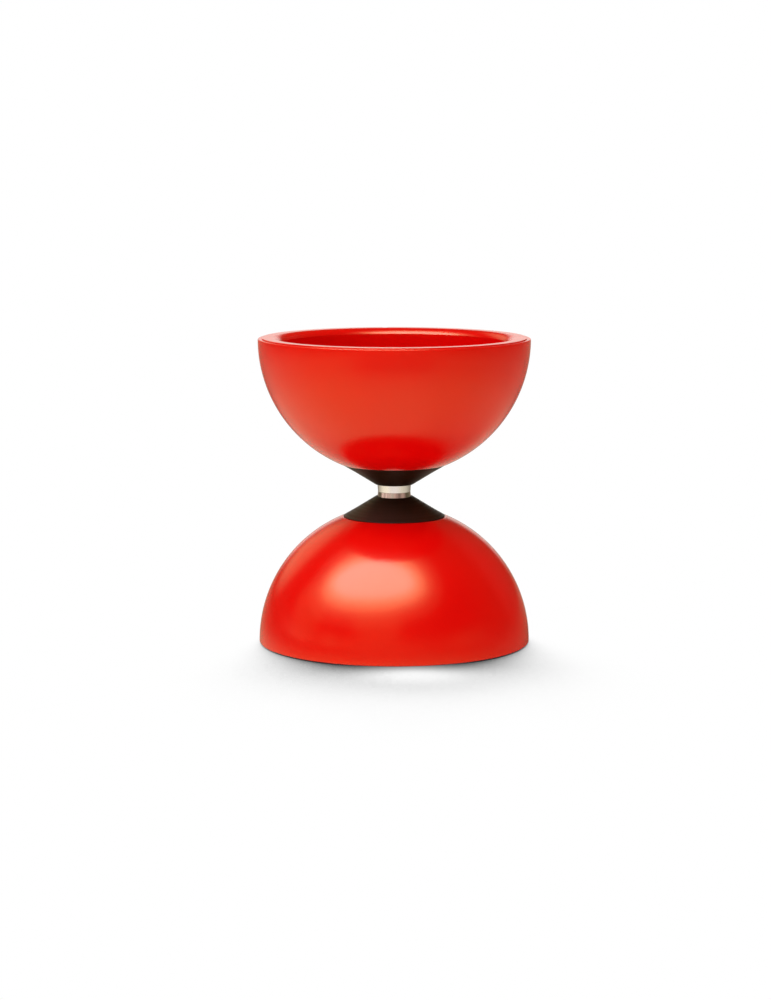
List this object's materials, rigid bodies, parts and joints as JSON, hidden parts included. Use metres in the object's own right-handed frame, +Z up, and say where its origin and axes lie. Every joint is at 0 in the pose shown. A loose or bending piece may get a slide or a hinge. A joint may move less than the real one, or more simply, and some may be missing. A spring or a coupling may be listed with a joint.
{
  "type": "diabolo",
  "caption": "Spinning yo-yo with two hollow hemispherical cups clamped to an axle and a free-running grooved roller at the waist for a string.",
  "frame": {"origin": "centre of the lower rim, on the plane that the toy stands on", "axes": "+Z up along the axle, from the lower cup to the upper cup; +X and +Y are alike, because the toy is round"},
  "size_m": [0.115, 0.115, 0.13],
  "materials": {
    "red_rubber": "satin moulded rubber, red",
    "black_nylon": "satin moulded plastic, black",
    "polished_steel": "turned and polished",
    "zinc_steel": "zinc plated",
    "bearing_steel": "ground",
    "white_nylon": "natural moulded nylon"
  },
  "bodies": {
    "cups_and_axle": {"axle": "zinc_steel", "upper_cup": "red_rubber", "upper_hub_cone": "black_nylon", "upper_clamp_plate": "black_nylon", "upper_washer": "zinc_steel", "upper_lock_nut": "zinc_steel", "upper_nut_insert": "white_nylon", "upper_shim": "zinc_steel", "upper_inner_race": "bearing_steel", "lower_cup": "red_rubber", "lower_hub_cone": "black_nylon", "lower_clamp_plate": "black_nylon", "lower_washer": "zinc_steel", "lower_lock_nut": "zinc_steel", "lower_nut_insert": "white_nylon", "lower_shim": "zinc_steel", "lower_inner_race": "bearing_steel"},
    "roller_and_clutch": {"roller": "polished_steel", "clutch_shell": "bearing_steel", "clutch_cage": "white_nylon", "clutch_needle_1": "bearing_steel", "clutch_needle_2": "bearing_steel", "clutch_needle_3": "bearing_steel", "clutch_needle_4": "bearing_steel", "clutch_needle_5": "bearing_steel", "clutch_needle_6": "bearing_steel", "upper_outer_race": "bearing_steel", "upper_bearing_shield": "zinc_steel", "lower_outer_race": "bearing_steel", "lower_bearing_shield": "zinc_steel"},
    "upper_ball_set": {"upper_ball_cage": "white_nylon", "upper_ball_1": "bearing_steel", "upper_ball_2": "bearing_steel", "upper_ball_3": "bearing_steel", "upper_ball_4": "bearing_steel", "upper_ball_5": "bearing_steel", "upper_ball_6": "bearing_steel", "upper_ball_7": "bearing_steel"},
    "lower_ball_set": {"lower_ball_cage": "white_nylon", "lower_ball_1": "bearing_steel", "lower_ball_2": "bearing_steel", "lower_ball_3": "bearing_steel", "lower_ball_4": "bearing_steel", "lower_ball_5": "bearing_steel", "lower_ball_6": "bearing_steel", "lower_ball_7": "bearing_steel"}
  },
  "joints": [
    {"name": "roller_spin", "type": "hinge", "parent": "cups_and_axle", "child": "roller_and_clutch", "pos_m": [0, 0, 0.065], "axis": [0, 0, 1], "continuous": true},
    {"name": "upper_ball_orbit", "type": "hinge", "parent": "cups_and_axle", "child": "upper_ball_set", "pos_m": [0, 0, 0.071], "axis": [0, 0, 1], "continuous": true},
    {"name": "lower_ball_orbit", "type": "hinge", "parent": "cups_and_axle", "child": "lower_ball_set", "pos_m": [0, 0, 0.059], "axis": [0, 0, 1], "continuous": true}
  ],
  "couplings": [
    {"joint": "upper_ball_orbit", "follows": "roller_spin", "ratio": 0.58},
    {"joint": "lower_ball_orbit", "follows": "roller_spin", "ratio": 0.58}
  ]
}
